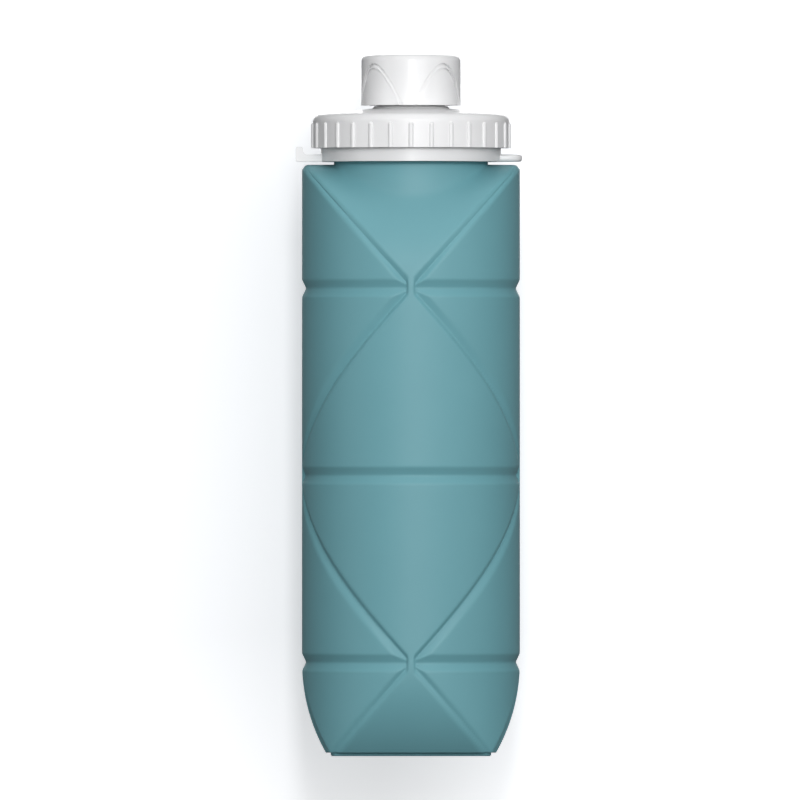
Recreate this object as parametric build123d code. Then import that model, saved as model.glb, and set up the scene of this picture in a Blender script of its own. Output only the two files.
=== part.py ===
"""Folding silicone water bottle with a screw-on lid and a capped drinking spout.

Millimetres. +Z is up, the origin is the middle of the foot, and the front faces -Y.
The silicone body is one moulding. It is written as five zones that meet at its fold
lines, so that the two folding zones can shorten while the others stay rigid.
"""
from build123d import *
import math
import os

# Silicone body
BODY_R = 35.8
WALL = 2.5
FLOOR = 3.0
LEVEL_A = 30.6
LEVEL_STEP = 61.4
LEVEL_B = LEVEL_A + LEVEL_STEP
LEVEL_C = LEVEL_B + LEVEL_STEP
FACET_FRONT_R = 46.0
FACET_SIDE_R = 59.0
GABLE_RISE = 40.6
GABLE_TOP = LEVEL_C + GABLE_RISE
RIDGE_CUT = 0.3
FOOT_INSET = 1.6
FOOT_H = 1.1
GROOVE_HALF = 2.8
GROOVE_DEPTH = 1.4
DIAGONAL_STEEP = 0.9
DIAGONAL_GENTLE = 2.6
DIAGONAL_DEPTH = 1.2
GABLE_GROOVE_HALF = 1.2
GABLE_GROOVE_DEPTH = 0.8
BRIDGE_W = 1.85
BRIDGE_H = 7.0
WAIST_HALF = 5.0
TALL = 400.0

# Silicone neck
NECK_R = 25.3
NECK_BORE_R = NECK_R - WALL
BEAD_R = 27.2
BEAD_H = 2.5

# Rigid neck ring
RING_Z = 195.0
LUG_H = 2.4
COLLAR_R = 29.65
COLLAR_TOP = 199.9
RING_ROOT_R = 28.6
RING_TOP = 208.0
INSERT_FLANGE_H = 2.0
RING_BEAD_Z = RING_TOP - INSERT_FLANGE_H - BEAD_H
LUG_W = 9.0
LUG_SUNK = 1.5
LUG_ROUND = 0.9
CROOK_R = 1.2
LUG_RIGHT = 36.5
LUG_LEFT = 38.0
HOOK_T = 2.7
HOOK_TOP = 200.0

# Clamp insert
INSERT_BORE_R = 20.8
INSERT_BOTTOM = 190.5

# Lid
LID_BOTTOM = 199.5
LID_R = 32.4
LID_INNER_R = 30.3
LID_EDGE_Z = 210.55
LID_SHOULDER_R = 2.7
LID_CEILING = 209.5
COLLAR_BASE_R = 12.8
COLLAR_BASE_Z = 212.4
COLLAR_TIP_R = 12.0
COLLAR_TIP_Z = 213.2
RIB_COUNT = 30
RIB_W = 1.8
RIB_R = 33.0
RIB_TOP = 207.9
SPOUT_R = 11.2
SPOUT_BORE_R = 8.5
SPOUT_TOP = 226.2

# Small cap
CAP_R = 16.35
CAP_BOTTOM = 213.5
CAP_TOP = 230.0
CAP_EDGE = 2.0
CAP_INNER_R = 12.8
CAP_CEILING = 228.0
ARCH_COUNT = 4
ARCH_FIRST = 41.0
ARCH_HALF_ANGLE = 36.5
ARCH_H = 13.1
ARCH_DEPTH = 0.35
ARCH_BORDER_ANGLE = 5.0
ARCH_BORDER_H = 1.6
ARCH_LINE_HALF = 0.45
ARCH_LINE_DEPTH = 0.4
ARCH_OVERRUN = 1.05

# Seals
SEAL_GAP = 0.1
GASKET_IN_R = 22.0
GASKET_OUT_R = 29.9
SPOUT_SEAL_R = 12.4
PLUG_R = SPOUT_BORE_R - 0.4
PLUG_WALL = 1.6
PLUG_H = 1.6

# Screw threads: the female ridge makes one turn, half a pitch below the male one
LID_PITCH = 3.0
LID_MALE_CREST_R = 29.85
LID_FEMALE_CREST_R = 29.0
LID_THREAD_Z = 201.25
SPOUT_PITCH = 2.7
SPOUT_MALE_CREST_R = 12.35
SPOUT_FEMALE_CREST_R = 11.6
SPOUT_THREAD_Z = 216.8
MALE_TURNS = 1.7
MALE_WIDTH = 1.4
FEMALE_WIDTH = 1.15
THREAD_SUNK = 0.3


def turned(points):
    """A solid of revolution about Z from (radius, height) points."""
    return revolve(Plane.XZ * make_face(Polyline(points, close=True)), Axis.Z, 360)


def tube(r_out, r_in, z0, z1):
    return turned([(r_in, z0), (r_out, z0), (r_out, z1), (r_in, z1)])


def slab(z0, z1, half=60.0):
    """A wide block between two heights."""
    return Pos(0, 0, (z0 + z1) / 2) * Box(2 * half, 2 * half, z1 - z0)


def facet_section(half, facet_r, centre_off, gable_h, floor_z):
    """The body's outline seen along a facet pair, with arcs at the foot and a gable or a flat top."""
    centre = half - facet_r
    drop = math.degrees(math.asin((LEVEL_A - floor_z) / facet_r))
    foot = centre + facet_r * math.cos(math.radians(drop))
    right = CenterArc((centre, LEVEL_A), facet_r, 360 - drop, drop)
    left = CenterArc((-centre, LEVEL_A), facet_r, 180, drop)
    base = Line((-foot, floor_z), (foot, floor_z))
    walls = [Line((s * half, LEVEL_A), (s * half, centre_off)) for s in (1, -1)]
    if gable_h:
        top = EllipticalCenterArc((0, centre_off), half, gable_h, 0, arc_size=180)
    else:
        top = Line((half, centre_off), (-half, centre_off))
    return make_face([right, walls[0], top, walls[1], left, base])


def envelope(inset, floor_z):
    """The bottle's outer form, or its cavity when inset by the wall."""
    r = BODY_R - inset
    front = facet_section(r, FACET_FRONT_R - inset, LEVEL_C, GABLE_RISE - inset, floor_z)
    side = facet_section(r, FACET_SIDE_R - inset, LEVEL_C + 2 * GABLE_RISE, 0, floor_z)
    along_x = extrude(Plane.YZ * front, BODY_R + 1, both=True)
    along_y = extrude(Plane.XZ * side, BODY_R + 1, both=True)
    return Cylinder(r, 2 * TALL) & along_x & along_y


def groove_tool(point, tangent, outward, halves, depth):
    """A V across a fold line, as a face at one end of it, with its own width on each side."""
    x_dir = Vector(tangent).cross(Vector(outward))
    plane = Plane(origin=point, x_dir=x_dir, z_dir=tangent)
    proud = 0.6
    left, right = [half * (1 + proud / depth) for half in halves]
    vee = Polyline((-left, -proud), (right, -proud), (0, depth), close=True)
    return plane * make_face(vee)


def swept_groove(path, halves, depth):
    """A V groove along a path that starts on the drum."""
    start, tangent = path @ 0, path % 0
    face = groove_tool(start, tangent, Vector(start.X, start.Y, 0), halves, depth)
    return sweep(face, path=path, is_frenet=True)


def diagonal_grooves():
    """The eight fold lines that cross from level to level a quarter turn apart.

    Each has its steep wall beside the diamond panel on the front or the back.
    """
    steep_left = (DIAGONAL_STEEP, DIAGONAL_GENTLE)
    steep_right = (DIAGONAL_GENTLE, DIAGONAL_STEEP)
    cutters = []
    for level, first, left, halves in ((LEVEL_A, -90, False, steep_left),
                                       (LEVEL_A, -90, True, steep_right),
                                       (LEVEL_B, 0, False, steep_right),
                                       (LEVEL_B, 0, True, steep_left)):
        path = Helix(4 * LEVEL_STEP, LEVEL_STEP, BODY_R, center=(0, 0, level), lefthand=left)
        cutter = swept_groove(path, halves, DIAGONAL_DEPTH)
        for half_turn in (0, 180):
            cutters.append(Rot(0, 0, first + half_turn) * cutter)
    return cutters


def gable_grooves():
    """The fold lines where the drum meets the gable. Each is half an ellipse over one ear."""
    slope = Plane(origin=(0, 0, LEVEL_C), x_dir=(BODY_R, 0, GABLE_RISE), z_dir=(-GABLE_RISE, 0, BODY_R))
    reach = math.hypot(BODY_R, GABLE_RISE)
    path = slope * EllipticalCenterArc((0, 0), reach, BODY_R, -90, arc_size=180)
    cutter = swept_groove(path, (GABLE_GROOVE_HALF, GABLE_GROOVE_HALF), GABLE_GROOVE_DEPTH)
    return [cutter, Rot(0, 0, 180) * cutter]


def ring_groove(level):
    return turned([(BODY_R + 1, level - GROOVE_HALF * (1 + 1 / GROOVE_DEPTH)),
                   (BODY_R + 1, level + GROOVE_HALF * (1 + 1 / GROOVE_DEPTH)),
                   (BODY_R - GROOVE_DEPTH, level)])


def bridges():
    """The blocks left solid at each meeting point of the fold lines."""
    blocks = [Pos(0, 0, z) * Box(BRIDGE_W, 2 * BODY_R + 4, BRIDGE_H) for z in (LEVEL_A, LEVEL_C)]
    blocks.append(Pos(0, 0, LEVEL_B) * Box(2 * BODY_R + 4, BRIDGE_W, BRIDGE_H))
    return blocks


def silicone_body():
    """The whole silicone moulding with its cavity, neck, bead and fold grooves."""
    foot = slab(0, FOOT_H)
    outer = envelope(0, 0) - foot + (envelope(FOOT_INSET, 0) & foot)
    outer = outer & slab(0, GABLE_TOP - RIDGE_CUT)
    neck = Pos(0, 0, (LEVEL_C + RING_BEAD_Z) / 2) * Cylinder(NECK_R, RING_BEAD_Z - LEVEL_C)
    bead = tube(BEAD_R, NECK_BORE_R, RING_BEAD_Z, RING_BEAD_Z + BEAD_H)
    cavity = envelope(WALL, FLOOR)
    bore = Pos(0, 0, (LEVEL_C + RING_TOP) / 2) * Cylinder(NECK_BORE_R, RING_TOP - LEVEL_C)
    rings = [ring_groove(level) for level in (LEVEL_A, LEVEL_B, LEVEL_C)]
    for cut in rings + diagonal_grooves() + gable_grooves():
        for block in bridges():
            cut = cut - block
        outer = outer - cut
    return outer + neck + bead - cavity - bore


def silicone_zones():
    """The moulding parted at its fold lines: foot, two folding zones, waist and shoulder."""
    body = silicone_body()
    levels = {
        "body_foot": (-1, LEVEL_A),
        "body_lower_fold": (LEVEL_A, LEVEL_B - WAIST_HALF),
        "body_waist": (LEVEL_B - WAIST_HALF, LEVEL_B + WAIST_HALF),
        "body_upper_fold": (LEVEL_B + WAIST_HALF, LEVEL_C),
        "body_shoulder": (LEVEL_C, RING_TOP + 1),
    }
    return {name: body & slab(z0, z1) for name, (z0, z1) in levels.items()}


def thread(root_r, crest_r, pitch, z_start, turns, width):
    """A right-hand helical ridge from root_r to crest_r, with its middle at z_start on +X."""
    path = Helix(pitch, pitch * turns, root_r, center=(0, 0, z_start))
    start, tangent = path @ 0, path % 0
    side = 1 if crest_r > root_r else -1
    plane = Plane(origin=start, x_dir=(side, 0, 0), z_dir=tangent)
    rise = abs(crest_r - root_r)
    ridge = Polyline((-THREAD_SUNK, -width / 2), (rise, -width / 5), (rise, width / 5),
                     (-THREAD_SUNK, width / 2), close=True)
    return sweep(plane * make_face(ridge), path=path, is_frenet=True)


def male_thread(root_r, crest_r, pitch, female_z):
    """The outer ridge. It begins a quarter turn before the female one, half a pitch above it."""
    ridge = thread(root_r, crest_r, pitch, female_z + pitch / 4, MALE_TURNS, MALE_WIDTH)
    return Rot(0, 0, -90) * ridge


def plain_lug(inner):
    """The right-hand lug: flat, with a half-round end in plan and rounded edges."""
    straight = LUG_RIGHT - LUG_W / 2 - inner
    plan = Pos(inner + straight / 2, 0) * Rectangle(straight, LUG_W)
    plan = plan + Pos(inner + straight, 0) * Circle(LUG_W / 2)
    lug = Pos(0, 0, RING_Z) * extrude(plan, LUG_H)
    rims = lug.edges().group_by(Axis.Z)
    return fillet(rims[0] + rims[-1], LUG_ROUND)


def hooked_lug(inner):
    """The left-hand lug: flat, with an upturned lip at its end."""
    hook_x = LUG_LEFT - HOOK_T
    side = Polyline((-inner, RING_Z), (-inner, RING_Z + LUG_H), (-hook_x, RING_Z + LUG_H),
                    (-hook_x, HOOK_TOP), (-LUG_LEFT, HOOK_TOP), (-LUG_LEFT, RING_Z), close=True)
    lug = extrude(Plane.XZ * make_face(side), LUG_W / 2, both=True)
    upright = lug.edges().filter_by(Axis.Y)
    crook = upright.filter_by_position(Axis.X, -hook_x - 0.1, -hook_x + 0.1)
    lug = fillet(crook.group_by(Axis.Z)[0], CROOK_R)
    lip = lug.edges().filter_by(Axis.Y).group_by(Axis.Z)[-1]
    heel = lug.edges().filter_by(Axis.Y).group_by(Axis.X)[0].group_by(Axis.Z)[0]
    return fillet(lip + heel, LUG_ROUND)


def neck_ring():
    """The rigid ring: collar, male thread, bead seat, plain lug and hooked lug."""
    body = turned([(NECK_R, RING_Z), (COLLAR_R, RING_Z), (COLLAR_R, COLLAR_TOP),
                   (RING_ROOT_R, COLLAR_TOP), (RING_ROOT_R, RING_TOP),
                   (BEAD_R, RING_TOP), (BEAD_R, RING_BEAD_Z), (NECK_R, RING_BEAD_Z)])
    male = male_thread(RING_ROOT_R, LID_MALE_CREST_R, LID_PITCH, LID_THREAD_Z)
    inner = COLLAR_R - LUG_SUNK
    return body + male + plain_lug(inner) + hooked_lug(inner)


def clamp_insert():
    """The inner ring that holds the neck's bead down and carries the sealing face."""
    top = RING_TOP
    flange = top - INSERT_FLANGE_H
    lead = 0.8
    return turned([(INSERT_BORE_R, INSERT_BOTTOM), (NECK_BORE_R - lead, INSERT_BOTTOM),
                   (NECK_BORE_R, INSERT_BOTTOM + lead), (NECK_BORE_R, flange),
                   (BEAD_R, flange), (BEAD_R, top), (INSERT_BORE_R + lead, top),
                   (INSERT_BORE_R, top - lead)])


def lid_ribs():
    """Upright half-round grip ribs with domed tops, one at the front."""
    r = RIB_W / 2
    straight = RIB_TOP - r - LID_BOTTOM
    bar = Pos(0, 0, straight / 2) * Cylinder(r, straight) + Pos(0, 0, straight) * Sphere(r)
    bar = Pos(0, r - RIB_R, LID_BOTTOM) * bar
    return [Rot(0, 0, 360 / RIB_COUNT * i) * bar for i in range(RIB_COUNT)]


def lid():
    """The lid: ribbed skirt with its female thread, cone top, collar and threaded spout."""
    shell = turned([(LID_INNER_R, LID_BOTTOM), (LID_R, LID_BOTTOM), (LID_R, LID_EDGE_Z),
                    (COLLAR_BASE_R, COLLAR_BASE_Z), (COLLAR_TIP_R, COLLAR_TIP_Z),
                    (SPOUT_R, COLLAR_TIP_Z), (SPOUT_R, SPOUT_TOP), (SPOUT_BORE_R, SPOUT_TOP),
                    (SPOUT_BORE_R, LID_CEILING), (LID_INNER_R, LID_CEILING)])
    near = 0.01
    shoulder = shell.edges().filter_by_position(Axis.Z, LID_EDGE_Z - near, LID_EDGE_Z + near)
    shell = fillet(shoulder, LID_SHOULDER_R)
    for rib in lid_ribs():
        shell = shell + rib
    female = thread(LID_INNER_R, LID_FEMALE_CREST_R, LID_PITCH, LID_THREAD_Z, 1, FEMALE_WIDTH)
    male = male_thread(SPOUT_R, SPOUT_MALE_CREST_R, SPOUT_PITCH, SPOUT_THREAD_Z)
    return shell + female + male


def arch_curve(half_angle, height, overrun=1.0):
    """Places across and up a parabolic arch, from one foot to the other or a little past them."""
    half_w = CAP_R * math.sin(math.radians(half_angle))
    steps = 12
    shares = [overrun * (1 - 2 * i / steps) for i in range(steps + 1)]
    return [(half_w * t, CAP_BOTTOM + height * (1 - t * t)) for t in shares]


def arch_recess(half_angle, height):
    """A shallow recess in the cap's wall, under one arch."""
    curve = arch_curve(half_angle, height)
    right, left = curve[0][0], curve[-1][0]
    outline = make_face([Spline(curve), Polyline(curve[-1], (left, CAP_BOTTOM - 1),
                                                 (right, CAP_BOTTOM - 1), curve[0])])
    block = extrude(Plane.XZ * outline, CAP_R + 2)
    return block - Cylinder(CAP_R - ARCH_DEPTH, 2 * TALL)


def arch_line(half_angle, height):
    """A fine V in the cap's wall, along one arch."""
    path = Spline([(x, -math.sqrt(CAP_R ** 2 - x * x), z)
                   for x, z in arch_curve(half_angle, height, ARCH_OVERRUN)])
    return swept_groove(path, (ARCH_LINE_HALF, ARCH_LINE_HALF), ARCH_LINE_DEPTH)


def arch_cutters():
    """The band and recess of each grip arch, equally spaced round the cap."""
    inner = (ARCH_HALF_ANGLE - ARCH_BORDER_ANGLE, ARCH_H - ARCH_BORDER_H)
    tools = [arch_recess(*inner), arch_line(*inner), arch_line(ARCH_HALF_ANGLE, ARCH_H)]
    return [Rot(0, 0, ARCH_FIRST + 360 / ARCH_COUNT * i) * tool
            for i in range(ARCH_COUNT) for tool in tools]


def spout_cap():
    """The small screw cap with its four banded grip recesses and female thread."""
    body = turned([(CAP_INNER_R, CAP_BOTTOM), (CAP_R, CAP_BOTTOM), (CAP_R, CAP_TOP),
                   (0, CAP_TOP), (0, CAP_CEILING), (CAP_INNER_R, CAP_CEILING)])
    body = fillet(body.edges().group_by(Axis.Z)[-1], CAP_EDGE)
    for cut in arch_cutters():
        body = body - cut
    female = thread(CAP_INNER_R, SPOUT_FEMALE_CREST_R, SPOUT_PITCH, SPOUT_THREAD_Z, 1, FEMALE_WIDTH)
    return body + female


def lid_gasket():
    return tube(GASKET_OUT_R, GASKET_IN_R, RING_TOP + SEAL_GAP, LID_CEILING - SEAL_GAP)


def spout_seal():
    """A disc with a raised ring that presses into the spout's mouth."""
    low, high = SPOUT_TOP + SEAL_GAP, CAP_CEILING - SEAL_GAP
    inner = PLUG_R - PLUG_WALL
    return turned([(0, low), (inner, low), (inner, low - PLUG_H), (PLUG_R, low - PLUG_H),
                   (PLUG_R, low), (SPOUT_SEAL_R, low), (SPOUT_SEAL_R, high), (0, high)])


def main():
    os.makedirs("parts", exist_ok=True)
    parts = silicone_zones()
    parts["neck_ring"] = neck_ring()
    parts["clamp_insert"] = clamp_insert()
    parts["lid"] = lid()
    parts["lid_gasket"] = lid_gasket()
    parts["spout_cap"] = spout_cap()
    parts["spout_seal"] = spout_seal()
    for name, solid in parts.items():
        export_step(solid, f"parts/{name}.step")


main()
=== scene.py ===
"""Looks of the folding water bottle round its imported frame. Metres, +Z up, the front faces -Y."""
import bmesh
import bpy
import math
import numpy as np
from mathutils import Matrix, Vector
from mathutils.kdtree import KDTree


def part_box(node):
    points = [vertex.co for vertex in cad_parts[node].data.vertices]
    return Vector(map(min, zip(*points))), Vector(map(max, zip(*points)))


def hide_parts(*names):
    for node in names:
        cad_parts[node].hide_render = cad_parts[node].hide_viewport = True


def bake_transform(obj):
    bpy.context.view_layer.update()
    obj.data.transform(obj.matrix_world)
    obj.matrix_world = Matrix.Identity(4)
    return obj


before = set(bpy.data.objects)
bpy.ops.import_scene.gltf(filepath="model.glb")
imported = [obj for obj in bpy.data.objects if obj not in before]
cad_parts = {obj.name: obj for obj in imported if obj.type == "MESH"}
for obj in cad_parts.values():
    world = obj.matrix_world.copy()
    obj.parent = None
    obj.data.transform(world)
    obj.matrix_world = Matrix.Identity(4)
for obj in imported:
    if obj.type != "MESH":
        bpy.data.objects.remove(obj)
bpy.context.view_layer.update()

MM = 0.001
QUARTER_TURN = math.pi / 2
waist_low, waist_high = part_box("body_waist")
shoulder_low, shoulder_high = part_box("body_shoulder")

# Body, with its outer radius and its fold levels from the frame
BODY_R = waist_high.y
LEVEL_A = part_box("body_foot")[1].z
LEVEL_B = (waist_low.z + waist_high.z) / 2
LEVEL_C = shoulder_low.z
RIM_Z = shoulder_high.z
FACET_FRONT_R = 46.0 * MM
FACET_SIDE_R = 59.0 * MM
GABLE_RISE = 40.6 * MM
NECK_R = 25.3 * MM
BEAD_R = 27.2 * MM
BEAD_Z = RIM_Z - 2.5 * MM
WALL = 2.5 * MM
FLOOR = 3.0 * MM
FOOT_H = 1.1 * MM
FOOT_INSET = 1.6 * MM
FOOT_BEVEL = 0.4 * MM
GABLE_TOP_Z = LEVEL_C + GABLE_RISE
NECK_BLEND = 3.0 * MM
BLEND_SPAN = 0.4 * GABLE_RISE

# Fold lines: half width inside the front panel, half width outside it, depth
RING_GROOVE = (2.8 * MM, 2.8 * MM, 1.4 * MM)
DIAGONAL_GROOVE = (0.9 * MM, 2.6 * MM, 1.2 * MM)
GABLE_GROOVE = (1.6 * MM, 1.6 * MM, 1.2 * MM)
FOOT_GROOVE = (1.5 * MM, 1.5 * MM, 1.0 * MM)
GROOVE_SOFT = 0.09
GROOVE_REACH = 1.6
NORMAL_PASSES = 3
BRIDGE_HALF_W, BRIDGE_HALF_H, BRIDGE_WALL = 0.92 * MM, 3.7 * MM, 0.55 * MM

# Underside: share of the foot's outline and height of each ring, from the middle out
UNDERSIDE = ((0.02, 0.8 * MM), (0.5, 0.8 * MM), (0.72, 0.75 * MM), (0.78, 0.1 * MM), (0.80, 0.0))
CENTRE_SHARE = 0.02
MOUTH_DEPTH = 2 * MM

# Grid: columns in a quarter turn, how much its points crowd the fold lines, and its finest sizes
QUARTER = 96
CLUSTER = 0.4
FACET_CLUSTER = 0.55
INNER_ROWS = 70
NO_CREASE = -9
RIDGE_HALF = 0.01 * MM
WELD = 0.025 * MM
PATH_POINTS = 4000
RING_POINTS = 3600
SHORT_LINE_POINTS = 1600

# Picture: a far camera, so that the view is almost without perspective
VIEW_WIDTH = 262.9 * MM
VIEW_DISTANCE = 8.0
VIEW_X, VIEW_Z = -3.6 * MM, 116.7 * MM
SENSOR_WIDTH = 36.0
VIEW_END = 20.0

# Area lights: place, width and height, power. All face the middle of the bottle.
LIGHT_TARGET = (0, 0, 0.12)
LIGHTS = {
    "key": ((0.42, -1.1, 0.42), (0.7, 0.4), 3.4),
    "strip": ((0.02, -1.3, 0.48), (0.12, 0.5), 4.4),
    "low_strip": ((0.02, -1.3, 0.12), (0.1, 0.45), 1.3),
    "front_fill": ((0.05, -1.0, 0.6), (1.6, 1.0), 4.1),
    "top": ((0.0, -0.15, 1.2), (0.7, 0.7), 2.4),
    "right_fill": ((1.0, -0.55, 0.3), (0.4, 0.8), 1.3),
    "left_fill": ((-1.0, -0.55, 0.3), (0.4, 0.8), 1.6),
    "back": ((0.0, 1.6, 0.6), (0.9, 0.9), 8.5),
}
WORLD_COLOUR = (0.94, 0.97, 1.0, 1)
WORLD_FILL = 0.1
WHITE = (1.0, 1.0, 1.0, 1)

# Stage paper: place, extent, glow by height, and where it fades out sideways
STAGE_Y = 0.075
STAGE_HALF_W, STAGE_LOW, STAGE_HIGH = 3.0, -2.0, 3.0
STAGE_COLOUR, STAGE_ROUGHNESS = (0.90, 0.91, 0.94), 0.95
GLOW_HEIGHTS, GLOWS = (-0.03, 0.04), (0.52, 0.36)
FADE_PLACES = (0.14, 0.26)

# Materials
NOISE_BAND = (0.3, 0.7)
SILICONE_DARK, SILICONE_LIGHT = (0.146, 0.360, 0.406), (0.152, 0.372, 0.418)
SEAL_COLOUR = (0.74, 0.75, 0.74)
# The ring's white is a little darker than the other white parts: painted shade, standing for the shade
# on the collar and its lugs.
PLASTIC_WHITE, RING_SHADED_WHITE = (0.86, 0.86, 0.865), (0.80, 0.80, 0.805)
PLASTIC_ROUGHNESS, GLOSS_SPREAD = 0.32, 0.04
FLOW_SHADE = 0.985


# ---------------------------------------------------------------- camera, light, stage

def aim(obj, target):
    direction = (np.array(target) - np.array(obj.location)).tolist()
    obj.rotation_euler = Vector(direction).to_track_quat("-Z", "Y").to_euler()


def add_camera():
    """A level, long-lens camera that frames the bottle as a square picture."""
    data = bpy.data.cameras.new("camera")
    data.sensor_width = SENSOR_WIDTH
    data.lens = SENSOR_WIDTH * VIEW_DISTANCE / VIEW_WIDTH
    data.clip_end = VIEW_END
    camera = bpy.data.objects.new("camera", data)
    camera.location = (VIEW_X, -VIEW_DISTANCE, VIEW_Z)
    camera.rotation_euler = (math.radians(90), 0, 0)
    bpy.context.scene.collection.objects.link(camera)
    bpy.context.scene.camera = camera


def area_light(name, place, size, power):
    data = bpy.data.lights.new(name, "AREA")
    data.shape = "RECTANGLE"
    data.size, data.size_y = size
    data.energy = power
    light = bpy.data.objects.new(name, data)
    light.location = place
    light.visible_camera = False
    aim(light, LIGHT_TARGET)
    bpy.context.scene.collection.objects.link(light)


def add_lights():
    for name, (place, size, power) in LIGHTS.items():
        area_light(name, place, size, power)
    world = bpy.data.worlds.new("studio")
    bpy.context.scene.world = world
    world.use_nodes = True
    nodes, links = world.node_tree.nodes, world.node_tree.links
    fill = nodes["Background"]
    fill.inputs["Color"].default_value = WORLD_COLOUR
    fill.inputs["Strength"].default_value = WORLD_FILL
    paper = nodes.new("ShaderNodeBackground")
    paper.inputs["Color"].default_value = WHITE
    rays = nodes.new("ShaderNodeLightPath")
    mix = nodes.new("ShaderNodeMixShader")
    links.new(rays.outputs["Is Camera Ray"], mix.inputs["Fac"])
    links.new(fill.outputs["Background"], mix.inputs[1])
    links.new(paper.outputs["Background"], mix.inputs[2])
    links.new(mix.outputs["Shader"], nodes["World Output"].inputs["Surface"])
    bpy.context.scene.view_settings.view_transform = "Standard"


def object_axis(nodes, links, axis):
    """One coordinate of the surface, in the object's own frame."""
    place = nodes.new("ShaderNodeTexCoord")
    parts = nodes.new("ShaderNodeSeparateXYZ")
    links.new(place.outputs["Object"], parts.inputs["Vector"])
    return parts.outputs[axis]


def mapped(nodes, links, source, span, values):
    """The source's span of values, mapped to another pair of values."""
    ranged = nodes.new("ShaderNodeMapRange")
    ranged.inputs["From Min"].default_value, ranged.inputs["From Max"].default_value = span
    ranged.inputs["To Min"].default_value, ranged.inputs["To Max"].default_value = values
    links.new(source, ranged.inputs["Value"])
    return ranged


def stage_glow(nodes, links):
    """The paper's own light, a little stronger under the foot, where little else reaches it."""
    height = object_axis(nodes, links, "Z")
    return mapped(nodes, links, height, GLOW_HEIGHTS, GLOWS).outputs["Result"]


def stage_fade(nodes, links):
    """1 in the middle of the paper, falling to 0 at the sides, so that it has no visible edge."""
    distance = nodes.new("ShaderNodeMath")
    distance.operation = "ABSOLUTE"
    links.new(object_axis(nodes, links, "X"), distance.inputs[0])
    fade = mapped(nodes, links, distance.outputs["Value"], FADE_PLACES, (1.0, 0.0))
    fade.interpolation_type = "SMOOTHSTEP"
    return fade.outputs["Result"]


def stage_material():
    """White paper that takes the bottle's shadow, seen from its front only and lighting nothing."""
    material, nodes, links, shader = new_material("stage", STAGE_COLOUR, STAGE_ROUGHNESS)
    shader.inputs["Specular IOR Level"].default_value = 0.0
    glow = nodes.new("ShaderNodeEmission")
    glow.inputs["Color"].default_value = WHITE
    links.new(stage_glow(nodes, links), glow.inputs["Strength"])
    lit = nodes.new("ShaderNodeAddShader")
    see_through = nodes.new("ShaderNodeBsdfTransparent")
    side = nodes.new("ShaderNodeNewGeometry")
    rays = nodes.new("ShaderNodeLightPath")
    shown = nodes.new("ShaderNodeMath")
    shown.operation = "SUBTRACT"
    shown.use_clamp = True
    faded = nodes.new("ShaderNodeMath")
    faded.operation = "MULTIPLY"
    mix = nodes.new("ShaderNodeMixShader")
    links.new(shader.outputs["BSDF"], lit.inputs[0])
    links.new(glow.outputs["Emission"], lit.inputs[1])
    links.new(rays.outputs["Is Camera Ray"], shown.inputs[0])
    links.new(side.outputs["Backfacing"], shown.inputs[1])
    links.new(shown.outputs["Value"], faded.inputs[0])
    links.new(stage_fade(nodes, links), faded.inputs[1])
    links.new(faded.outputs["Value"], mix.inputs["Fac"])
    links.new(see_through.outputs["BSDF"], mix.inputs[1])
    links.new(lit.outputs["Shader"], mix.inputs[2])
    links.new(mix.outputs["Shader"], nodes["Material Output"].inputs["Surface"])
    return material


def add_stage():
    """A sheet of paper just behind the bottle."""
    mesh = bpy.data.meshes.new("stage")
    corners = [(-STAGE_HALF_W, STAGE_Y, STAGE_LOW), (STAGE_HALF_W, STAGE_Y, STAGE_LOW),
               (STAGE_HALF_W, STAGE_Y, STAGE_HIGH), (-STAGE_HALF_W, STAGE_Y, STAGE_HIGH)]
    mesh.from_pydata(corners, [], [(0, 1, 2, 3)])
    stage = bpy.data.objects.new("stage", mesh)
    bpy.context.scene.collection.objects.link(stage)
    mesh.materials.append(stage_material())


# ---------------------------------------------------------------- materials

def new_material(name, colour, roughness):
    material = bpy.data.materials.new(name)
    material.use_nodes = True
    nodes, links = material.node_tree.nodes, material.node_tree.links
    shader = nodes["Principled BSDF"]
    shader.inputs["Base Color"].default_value = (*colour, 1)
    shader.inputs["Roughness"].default_value = roughness
    return material, nodes, links, shader


def noise(nodes, links, scale, detail=4.0, rough=0.55):
    """Solid noise in the piece's own coordinates; scale is in cycles per metre."""
    place = nodes.new("ShaderNodeTexCoord")
    texture = nodes.new("ShaderNodeTexNoise")
    texture.inputs["Scale"].default_value = scale
    texture.inputs["Detail"].default_value = detail
    texture.inputs["Roughness"].default_value = rough
    links.new(place.outputs["Object"], texture.inputs["Vector"])
    return texture


def spread(nodes, links, source, low, high):
    """Maps the noise's middle band to a range of values."""
    return mapped(nodes, links, source, NOISE_BAND, (low, high)).outputs["Result"]


def shade_variation(nodes, links, shader, source, dark, light):
    """A faint mottling of the base colour between two close tones."""
    ramp = nodes.new("ShaderNodeValToRGB")
    for element, position, colour in zip(ramp.color_ramp.elements, NOISE_BAND, (dark, light)):
        element.position = position
        element.color = (*colour, 1)
    links.new(source, ramp.inputs["Fac"])
    links.new(ramp.outputs["Color"], shader.inputs["Base Color"])


def bump(nodes, links, shader, source, strength, distance):
    node = nodes.new("ShaderNodeBump")
    node.inputs["Strength"].default_value = strength
    node.inputs["Distance"].default_value = distance
    links.new(source, node.inputs["Height"])
    links.new(node.outputs["Normal"], shader.inputs["Normal"])


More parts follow.
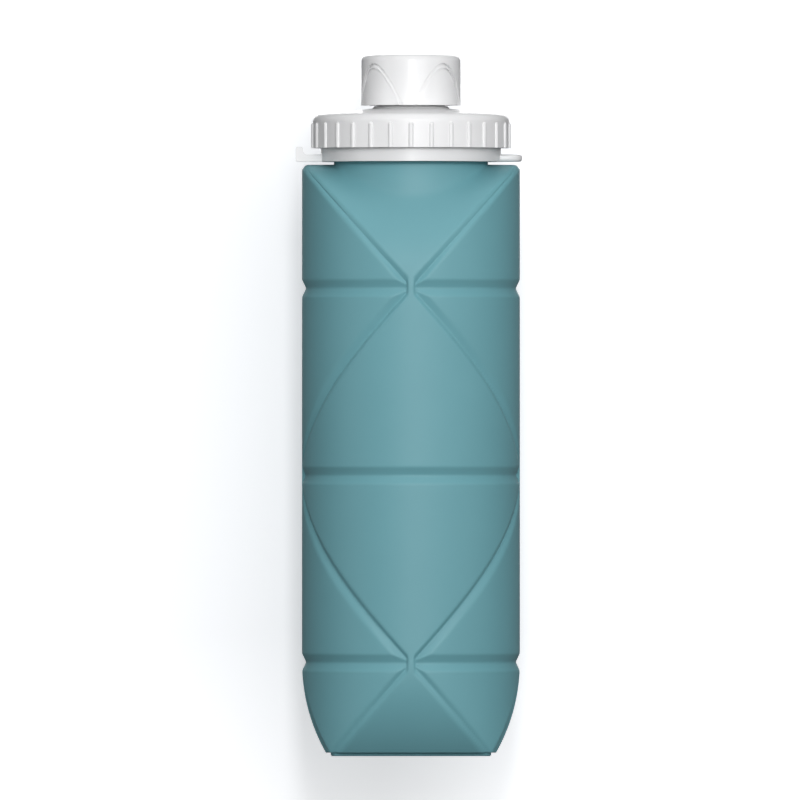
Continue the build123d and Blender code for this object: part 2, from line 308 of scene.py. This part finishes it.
def silicone_material():
    """Satin-matt teal silicone: faint mottling, fine moulded grain and a soft bloom at the edges."""
    material, nodes, links, shader = new_material("teal_silicone", SILICONE_LIGHT, 0.5)
    broad = noise(nodes, links, 45.0, 3.0)
    fine = noise(nodes, links, 3200.0, 2.0)
    shade_variation(nodes, links, shader, broad.outputs["Fac"], SILICONE_DARK, SILICONE_LIGHT)
    links.new(spread(nodes, links, fine.outputs["Fac"], 0.44, 0.56), shader.inputs["Roughness"])
    bump(nodes, links, shader, fine.outputs["Fac"], 0.12, 0.00006)
    shader.inputs["Specular IOR Level"].default_value = 0.35
    shader.inputs["Sheen Weight"].default_value = 0.05
    shader.inputs["Sheen Roughness"].default_value = 0.5
    return material


def white_plastic(name, colour):
    """White moulded plastic: clean colour, faint flow marks in its gloss and a very fine skin."""
    material, nodes, links, shader = new_material(name, colour, PLASTIC_ROUGHNESS)
    flow = noise(nodes, links, 60.0, 3.0)
    skin = noise(nodes, links, 2400.0, 2.0)
    darker = tuple(c * FLOW_SHADE for c in colour)
    shade_variation(nodes, links, shader, flow.outputs["Fac"], darker, colour)
    gloss = spread(nodes, links, flow.outputs["Fac"], PLASTIC_ROUGHNESS - GLOSS_SPREAD,
                   PLASTIC_ROUGHNESS + GLOSS_SPREAD)
    links.new(gloss, shader.inputs["Roughness"])
    bump(nodes, links, shader, skin.outputs["Fac"], 0.05, 0.00003)
    return material


def seal_material():
    """Milky seal silicone."""
    material, nodes, links, shader = new_material("seal_silicone", SEAL_COLOUR, 0.55)
    fine = noise(nodes, links, 2600.0, 2.0)
    links.new(spread(nodes, links, fine.outputs["Fac"], 0.5, 0.6), shader.inputs["Roughness"])
    bump(nodes, links, shader, fine.outputs["Fac"], 0.1, 0.00004)
    return material


# ---------------------------------------------------------------- mesh helpers

def welded(mesh):
    """Joins points that lie in the same place, such as both sides of the gable's ridge."""
    work = bmesh.new()
    work.from_mesh(mesh)
    bmesh.ops.remove_doubles(work, verts=work.verts, dist=WELD)
    work.to_mesh(mesh)
    work.free()


def piece(name, vertices, faces, material):
    """A smooth-shaded mesh object with one material."""
    mesh = bpy.data.meshes.new(name)
    mesh.from_pydata(vertices, [], faces)
    mesh.validate()
    welded(mesh)
    mesh.materials.append(material)
    mesh.polygons.foreach_set("use_smooth", np.ones(len(mesh.polygons), bool))
    obj = bpy.data.objects.new(name, mesh)
    bpy.context.scene.collection.objects.link(obj)
    return obj


def smooth_step(t):
    t = np.clip(t, 0, 1)
    return t * t * (3 - 2 * t)


# ---------------------------------------------------------------- silicone body

def warped():
    """Places from 0 to 1, closer together at both ends, where the fold lines meet."""
    u = np.arange(QUARTER + 1) / QUARTER
    return u - CLUSTER * np.sin(2 * math.pi * u) / (2 * math.pi)


def front_limit(z):
    """Half depth between the front and back facets."""
    foot_arc = BODY_R - FACET_FRONT_R + np.sqrt(FACET_FRONT_R ** 2 - np.clip(LEVEL_A - z, 0, None) ** 2)
    rise = np.clip((z - LEVEL_C) / GABLE_RISE, 0, 1)
    return np.where(z < LEVEL_A, foot_arc, BODY_R * np.sqrt(1 - rise ** 2))


def side_limit(z):
    """Half width between the side facets, which are only at the foot."""
    drop = np.clip(LEVEL_A - z, 0, None)
    return BODY_R - FACET_SIDE_R + np.sqrt(FACET_SIDE_R ** 2 - drop ** 2)


def outer_heights():
    """Heights of the rows. On each row of a facet zone the crease meets a column."""
    t = warped()
    crease = BODY_R * np.cos(t * QUARTER_TURN)
    drop = FACET_FRONT_R ** 2 - (crease - (BODY_R - FACET_FRONT_R)) ** 2
    below = LEVEL_A - np.sqrt(drop)
    below = below[below > FOOT_H + 0.2 * MM][::-1]
    lower = LEVEL_A + (LEVEL_B - LEVEL_A) * t[1:]
    upper = LEVEL_B + (LEVEL_C - LEVEL_B) * t[1:]
    gable = LEVEL_C + GABLE_RISE * np.sin(t[1:] * QUARTER_TURN)
    return np.concatenate([[FOOT_H], below, lower, upper, gable])


def all_round(turns):
    """Angles of a whole row, anticlockwise seen from above, from its turns in one quarter."""
    back = turns[:0:-1]
    return np.concatenate([turns[:-1], math.pi - back, math.pi + turns[:-1], 2 * math.pi - back])


def radius(z, angle, inset=0.0):
    """The body's radius at each height and angle, before the fold grooves."""
    cos, sin = np.abs(np.cos(angle)), np.abs(np.sin(angle))
    with np.errstate(divide="ignore"):
        r = np.minimum(BODY_R - inset, (front_limit(z) - inset) / np.maximum(cos, 1e-9))
        r = np.minimum(r, (side_limit(z) - inset) / np.maximum(sin, 1e-9))
    neck = NECK_R - inset
    blend = NECK_BLEND * smooth_step((BODY_R - inset - r) / (BODY_R - NECK_R))
    joined = 0.5 * (r + neck + np.sqrt((r - neck) ** 2 + blend ** 2))
    return r + (joined - r) * smooth_step((z - LEVEL_C) / BLEND_SPAN)


def on_body(z, angle, r):
    return np.stack([r * np.sin(angle), -r * np.cos(angle), z + 0 * angle], axis=-1)


def gable_turns(z, column):
    """Turns from the front on a gable row: even along the facet up to its crease, then as below."""
    turns = warped() * QUARTER_TURN
    crease = min(turns[column], math.acos(RIDGE_HALF / BODY_R))
    fine = np.arctan(np.tan(crease) * np.linspace(0, 1, PATH_POINTS))
    path = on_body(z, fine, radius(z, fine))
    length = np.concatenate([[0], np.cumsum(np.linalg.norm(np.diff(path, axis=0), axis=1))])
    share = np.arange(column + 1) / column
    share = share + FACET_CLUSTER * np.sin(math.pi * share) / math.pi
    turns[:column + 1] = np.interp(share, length / length[-1], fine)
    turns[QUARTER] = QUARTER_TURN
    return turns


def grid_angles(heights):
    """Angle of each point of the outer grid: fixed columns, respaced along the gable's facets."""
    below = [z for z in heights if z <= LEVEL_C]
    gable = [z for z in heights if z > LEVEL_C]
    rows = [all_round(warped() * QUARTER_TURN)] * len(below)
    rows += [all_round(gable_turns(z, column + 1)) for column, z in enumerate(gable)]
    return np.array(rows)


def tree_of(points):
    tree = KDTree(len(points))
    for i, p in enumerate(points):
        tree.insert(p, i)
    tree.balance()
    return tree


def ring_lines():
    """Points along the three level rings."""
    around = np.linspace(0, 2 * math.pi, RING_POINTS)
    return np.concatenate([on_body(np.full(RING_POINTS, level), around, BODY_R)
                           for level in (LEVEL_A, LEVEL_B, LEVEL_C)])


def crossing_lines(z, turn):
    """Points along a fold line and its three mirror images, from heights and turns from the front."""
    return np.concatenate([on_body(z, half + side * turn, BODY_R) for half in (0, math.pi)
                           for side in (1, -1)])


def crease_turn(z):
    """How far round from the front or back the fold line is at each height."""
    step = LEVEL_B - LEVEL_A
    turn = np.arccos(np.clip(front_limit(z) / BODY_R, -1, 1))
    turn = np.where(z > LEVEL_A, QUARTER_TURN * (z - LEVEL_A) / step, turn)
    turn = np.where(z > LEVEL_B, QUARTER_TURN * (LEVEL_C - z) / step, turn)
    gable = np.arcsin(np.clip((z - LEVEL_C) / GABLE_RISE, 0, 1))
    return np.where(z > LEVEL_C, gable, turn)


def turn_from_front(angle):
    """Angle from the nearer of the front and the back, 0 to a quarter turn."""
    return np.abs((angle + QUARTER_TURN) % math.pi - QUARTER_TURN)


def groove(points, line, inside, shape):
    """Depth of a V with a slightly rounded root and lips, by distance from its line."""
    inner, outer, depth = shape
    tree = tree_of(line)
    distance = np.array([tree.find(p)[2] for p in points.reshape(-1, 3)]).reshape(points.shape[:-1])
    distance = distance / np.where(inside, inner, outer)
    level = 1 - np.sqrt(distance ** 2 + GROOVE_SOFT ** 2)
    soft = 0.5 * (level + np.sqrt(level ** 2 + GROOVE_SOFT ** 2))
    return np.where(distance > GROOVE_REACH, 0, depth * soft)


def bridge_mask(z, angle):
    """0 on the small uncut bars where fold lines meet, 1 elsewhere."""
    mask = np.ones(np.broadcast(z, angle).shape)
    meetings = [(LEVEL_A, 0), (LEVEL_A, 2), (LEVEL_B, 1), (LEVEL_B, 3), (LEVEL_C, 0), (LEVEL_C, 2)]
    for level, quarter in meetings:
        turn = (angle - quarter * QUARTER_TURN + math.pi) % (2 * math.pi) - math.pi
        across = smooth_step((np.abs(turn) * BODY_R - BRIDGE_HALF_W) / BRIDGE_WALL)
        along = smooth_step((np.abs(z - level) - BRIDGE_HALF_H) / BRIDGE_WALL)
        mask = np.minimum(mask, np.maximum(across, along))
    return mask


def grid_normals(p):
    """Outward normals of a closed grid of rows and columns, softened over its creases."""
    around = np.roll(p, -1, axis=1) - np.roll(p, 1, axis=1)
    up = np.gradient(p, axis=0)
    n = np.cross(around, up)
    n /= np.maximum(np.linalg.norm(n, axis=-1, keepdims=True), 1e-12)
    for _ in range(NORMAL_PASSES):
        n = n + np.roll(n, 1, axis=1) + np.roll(n, -1, axis=1)
        n[1:-1] = n[1:-1] + n[:-2] + n[2:]
        n /= np.maximum(np.linalg.norm(n, axis=-1, keepdims=True), 1e-12)
    return n


def groove_depths(base, z, angle):
    """Depth of the deepest groove at each point of the outer grid."""
    inside = turn_from_front(angle) < crease_turn(z)
    folds = np.linspace(LEVEL_A, LEVEL_C, PATH_POINTS)
    foot = np.linspace(0, LEVEL_A, SHORT_LINE_POINTS)
    gable = LEVEL_C + GABLE_RISE * np.sin(np.linspace(0, QUARTER_TURN, SHORT_LINE_POINTS))
    side = np.arcsin(np.clip(side_limit(foot) / BODY_R, -1, 1))
    depth = groove(base, ring_lines(), inside, RING_GROOVE)
    for heights, turn, shape in ((folds, crease_turn(folds), DIAGONAL_GROOVE),
                                 (gable, crease_turn(gable), GABLE_GROOVE),
                                 (foot, crease_turn(foot), FOOT_GROOVE),
                                 (foot, side, FOOT_GROOVE)):
        depth = np.maximum(depth, groove(base, crossing_lines(heights, turn), inside, shape))
    return depth


def carved_surface(heights, angle):
    """The outer grid of the body with its fold grooves pressed in."""
    z = heights[:, None]
    base = on_body(z, angle, radius(z, angle))
    depth = groove_depths(base, z, angle) * bridge_mask(z, angle)
    return base - grid_normals(base) * depth[..., None]


def crease_columns(heights):
    """The column of each quarter turn that the crease meets on each row."""
    turn = crease_turn(np.array(heights)) / QUARTER_TURN
    return np.abs(turn[:, None] - warped()[None, :]).argmin(axis=1)


def cell_faces(corners, quarter, column, here, above):
    """One quad, or two triangles where a crease crosses it from corner to corner."""
    a, b, c, d = corners
    local = column if quarter % 2 == 0 else QUARTER - 1 - column
    if {here, above} != {local, local + 1}:
        return [(a, b, c, d)]
    rises = (above > here) == (quarter % 2 == 0)
    return [(a, b, c), (a, c, d)] if rises else [(a, b, d), (b, c, d)]


def grid_faces(rows, columns, heights=None, first=0):
    """Quads between rows, split along the fold lines where heights are given."""
    crease = crease_columns(heights) if heights is not None else np.full(rows, NO_CREASE)
    faces = []
    for i in range(rows - 1):
        for j in range(columns):
            k = (j + 1) % columns
            a, b = first + i * columns + j, first + i * columns + k
            corners = (a, b, b + columns, a + columns)
            faces += cell_faces(corners, j // QUARTER, j % QUARTER, crease[i], crease[i + 1])
    return faces


def ring_rows(specs, angle):
    """Plain rings of the given (radius, height)."""
    return [on_body(np.full(angle.shape, z), angle, r) for r, z in specs]


def cavity_row(z, angle):
    """A ring of the cavity's wall, which keeps a wall's thickness below the gable's ridge."""
    lowered = z + WALL * smooth_step((z - LEVEL_C) / BLEND_SPAN)
    return on_body(np.full(angle.shape, z), angle, radius(np.full(angle.shape, lowered), angle, WALL))


def foot_rows(angle):
    """The bottle's underside, with its raised middle, and the bevelled edge it stands on."""
    level = np.full(angle.shape, FOOT_H)
    edge = [on_body(np.full(angle.shape, z), angle, radius(level, angle, inset)) for inset, z in
            ((FOOT_INSET + FOOT_BEVEL, 0.0), (FOOT_INSET, FOOT_BEVEL), (FOOT_INSET, FOOT_H))]
    under = [edge[0] * np.array([share, share, 0]) + np.array([0, 0, lift]) for share, lift in UNDERSIDE]
    return under + edge


def neck_rows(angle):
    """The neck, its bead and its mouth."""
    return ring_rows([(NECK_R, GABLE_TOP_Z + WELD), (NECK_R, BEAD_Z), (BEAD_R, BEAD_Z),
                      (BEAD_R, RIM_Z), (NECK_R - WALL, RIM_Z)], angle)


def cavity_rows(angle):
    """The inside from the mouth down, and its floor drawn in to a small ring."""
    rows = [cavity_row(z, angle) for z in np.linspace(RIM_Z - MOUTH_DEPTH, FLOOR, INNER_ROWS)]
    return rows + [rows[-1] * np.array([CENTRE_SHARE, CENTRE_SHARE, 1.0])]


def silicone_skin(material):
    """The whole moulding as one closed mesh: carved outside, neck and bead, cavity and foot."""
    heights = outer_heights()
    angle = grid_angles(heights)
    outside = carved_surface(heights, angle)
    foot = foot_rows(angle[0])
    rows = foot + list(outside) + neck_rows(angle[-1]) + cavity_rows(angle[-1])
    row_heights = [r[0][2] for r in rows]
    columns = angle.shape[1]
    start, stop = len(foot), len(foot) + len(outside)
    faces = grid_faces(start + 1, columns)
    faces += grid_faces(len(outside), columns, row_heights[start:stop], start * columns)
    faces += grid_faces(len(rows) - stop + 1, columns, None, (stop - 1) * columns)
    faces.append(tuple(range(columns))[::-1])
    last = (len(rows) - 1) * columns
    faces.append(tuple(range(last, last + columns)))
    vertices = np.concatenate(rows).reshape(-1, 3)
    skin = piece("silicone_body", vertices.tolist(), faces, material)
    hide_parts("body_foot", "body_lower_fold", "body_waist", "body_upper_fold", "body_shoulder")
    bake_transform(skin)


def dress(node, material):
    """Gives a piece carried over from CAD its material."""
    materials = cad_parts[node].data.materials
    materials.clear()
    materials.append(material)


add_camera()
add_lights()
add_stage()
silicone_skin(silicone_material())
# The neck ring gets the darker white, which is painted shade.
for node, name, colour in (("neck_ring", "ring_white_painted_shade", RING_SHADED_WHITE),
                           ("clamp_insert", "insert_white", PLASTIC_WHITE),
                           ("lid", "lid_white", PLASTIC_WHITE),
                           ("spout_cap", "cap_white", PLASTIC_WHITE)):
    dress(node, white_plastic(name, colour))
for node in ("lid_gasket", "spout_seal"):
    dress(node, seal_material())
